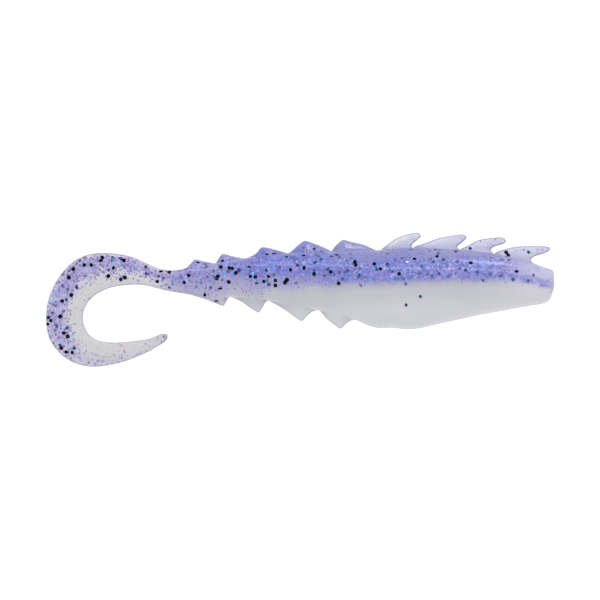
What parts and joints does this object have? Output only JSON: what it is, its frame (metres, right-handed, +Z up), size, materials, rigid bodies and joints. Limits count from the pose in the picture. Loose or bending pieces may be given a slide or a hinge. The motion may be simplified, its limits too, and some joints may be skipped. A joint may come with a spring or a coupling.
{
  "type": "soft plastic lure",
  "caption": "Soft plastic fishing bait with a shrimp-like serrated body, forward-swept back spines and a thin curled swimming tail.",
  "frame": {"origin": "centre of the flat face at the nose, where a jig head's collar seats", "axes": "+X out of the nose, along the length; +Z up through the spined back; +Y to the lure's left side"},
  "size_m": [0.1015, 0.0112, 0.0267],
  "materials": {
    "back_plastisol": "glossy translucent violet with black, blue and violet glitter",
    "belly_plastisol": "glossy pearl grey-white",
    "spine_plastisol": "glossy clear violet"
  },
  "bodies": {
    "thorax": {"thorax_back": "back_plastisol", "thorax_belly": "belly_plastisol"},
    "segment_1": {"segment_1_back": "back_plastisol", "segment_1_belly": "belly_plastisol"},
    "segment_2": {"segment_2_back": "back_plastisol", "segment_2_belly": "belly_plastisol"},
    "segment_3": {"segment_3_back": "back_plastisol", "segment_3_belly": "belly_plastisol"},
    "segment_4": {"segment_4_back": "back_plastisol", "segment_4_belly": "belly_plastisol"},
    "segment_5": {"segment_5_back": "back_plastisol", "segment_5_belly": "belly_plastisol"},
    "stalk": {"stalk_back": "back_plastisol", "stalk_belly": "belly_plastisol"},
    "curl_1": {"curl_1_back": "back_plastisol", "curl_1_belly": "belly_plastisol"},
    "curl_2": {"curl_2_back": "back_plastisol", "curl_2_belly": "belly_plastisol"},
    "curl_3": {"curl_3_back": "back_plastisol", "curl_3_belly": "belly_plastisol"},
    "curl_4": {"curl_4_back": "back_plastisol", "curl_4_belly": "belly_plastisol"},
    "curl_5": {"curl_5_back": "back_plastisol", "curl_5_belly": "belly_plastisol"},
    "curl_6": {"curl_6_back": "back_plastisol", "curl_6_belly": "belly_plastisol"},
    "curl_7": {"curl_7_back": "back_plastisol", "curl_7_belly": "belly_plastisol"},
    "curl_8": {"curl_8_back": "back_plastisol", "curl_8_belly": "belly_plastisol"},
    "curl_9": {"curl_9_back": "back_plastisol", "curl_9_belly": "belly_plastisol"},
    "spine_1": {"spine_1": "spine_plastisol"},
    "spine_2": {"spine_2": "spine_plastisol"},
    "spine_3": {"spine_3": "spine_plastisol"},
    "spine_4": {"spine_4": "spine_plastisol"}
  },
  "joints": [
    {"name": "segment_1_sway", "type": "hinge", "parent": "thorax", "child": "segment_1", "pos_m": [-0.03767, 0, -0.00043], "axis": [0.3018, 0, 0.9534], "range_deg": [-15, 15], "stiffness_Nm_per_rad": 0.02},
    {"name": "segment_2_arch", "type": "hinge", "parent": "segment_1", "child": "segment_2", "pos_m": [-0.04584, 0, -0.00073], "axis": [0.002, 1, 0.001], "range_deg": [-10, 10], "stiffness_Nm_per_rad": 0.028},
    {"name": "segment_3_sway", "type": "hinge", "parent": "segment_2", "child": "segment_3", "pos_m": [-0.05567, 0, -0.00059], "axis": [0.398, 0, 0.9174], "range_deg": [-20, 20], "stiffness_Nm_per_rad": 0.0067},
    {"name": "segment_4_arch", "type": "hinge", "parent": "segment_3", "child": "segment_4", "pos_m": [-0.06368, 0, -0.00052], "axis": [0.002, 1, 0.001], "range_deg": [-14, 14], "stiffness_Nm_per_rad": 0.0062},
    {"name": "segment_5_sway", "type": "hinge", "parent": "segment_4", "child": "segment_5", "pos_m": [-0.06851, 0, -0.00142], "axis": [0.1961, 0, 0.9806], "range_deg": [-25, 25], "stiffness_Nm_per_rad": 0.0015},
    {"name": "stalk_arch", "type": "hinge", "parent": "segment_5", "child": "stalk", "pos_m": [-0.07323, 0, -0.00063], "axis": [0.002, 1, 0.001], "range_deg": [-18, 18], "stiffness_Nm_per_rad": 0.0012},
    {"name": "curl_1_sway", "type": "hinge", "parent": "stalk", "child": "curl_1", "pos_m": [-0.07898, 0, -0.00001], "axis": [-0.0493, 0, 0.9988], "range_deg": [-30, 30], "stiffness_Nm_per_rad": 0.00017},
    {"name": "curl_2_arch", "type": "hinge", "parent": "curl_1", "child": "curl_2", "pos_m": [-0.08449, 0, 0.00168], "axis": [0.002, 1, 0.001], "range_deg": [-6, 24], "stiffness_Nm_per_rad": 0.0014},
    {"name": "curl_3_arch", "type": "hinge", "parent": "curl_2", "child": "curl_3", "pos_m": [-0.0893, 0, 0.00171], "axis": [0.002, 1, 0.001], "range_deg": [-6, 24], "stiffness_Nm_per_rad": 0.0024},
    {"name": "curl_4_sway", "type": "hinge", "parent": "curl_3", "child": "curl_4", "pos_m": [-0.09343, 0, 0.00042], "axis": [-0.4807, 0, 0.8769], "range_deg": [-30, 30], "stiffness_Nm_per_rad": 0.00016},
    {"name": "curl_5_arch", "type": "hinge", "parent": "curl_4", "child": "curl_5", "pos_m": [-0.09596, 0, -0.00255], "axis": [0.002, 1, 0.001], "range_deg": [-6, 24], "stiffness_Nm_per_rad": 0.0028},
    {"name": "curl_6_arch", "type": "hinge", "parent": "curl_5", "child": "curl_6", "pos_m": [-0.09705, 0, -0.0066], "axis": [0.002, 1, 0.001], "range_deg": [-6, 24], "stiffness_Nm_per_rad": 0.0025},
    {"name": "curl_7_sway", "type": "hinge", "parent": "curl_6", "child": "curl_7", "pos_m": [-0.09638, 0, -0.01054], "axis": [-0.96, 0, -0.28], "range_deg": [-30, 30], "stiffness_Nm_per_rad": 0.00013},
    {"name": "curl_8_arch", "type": "hinge", "parent": "curl_7", "child": "curl_8", "pos_m": [-0.09347, 0, -0.01356], "axis": [0.002, 1, 0.001], "range_deg": [-6, 24], "stiffness_Nm_per_rad": 0.0015},
    {"name": "curl_9_arch", "type": "hinge", "parent": "curl_8", "child": "curl_9", "pos_m": [-0.08836, 0, -0.01428], "axis": [0.002, 1, 0.001], "range_deg": [-6, 24], "stiffness_Nm_per_rad": 0.0005},
    {"name": "spine_1_flex", "type": "hinge", "parent": "thorax", "child": "spine_1", "pos_m": [-0.03135, 0, 0.00745], "axis": [0.9988, 0, 0.0499], "range_deg": [-30, 30], "stiffness_Nm_per_rad": 0.00015},
    {"name": "spine_2_flex", "type": "hinge", "parent": "thorax", "child": "spine_2", "pos_m": [-0.02342, 0, 0.00746], "axis": [0.9995, 0, -0.0325], "range_deg": [-30, 30], "stiffness_Nm_per_rad": 0.00015},
    {"name": "spine_3_flex", "type": "hinge", "parent": "thorax", "child": "spine_3", "pos_m": [-0.01529, 0, 0.00695], "axis": [0.9939, 0, -0.11], "range_deg": [-30, 30], "stiffness_Nm_per_rad": 0.00015},
    {"name": "spine_4_flex", "type": "hinge", "parent": "thorax", "child": "spine_4", "pos_m": [-0.00788, 0, 0.00585], "axis": [0.9747, 0, -0.2234], "range_deg": [-30, 30], "stiffness_Nm_per_rad": 0.00015}
  ]
}
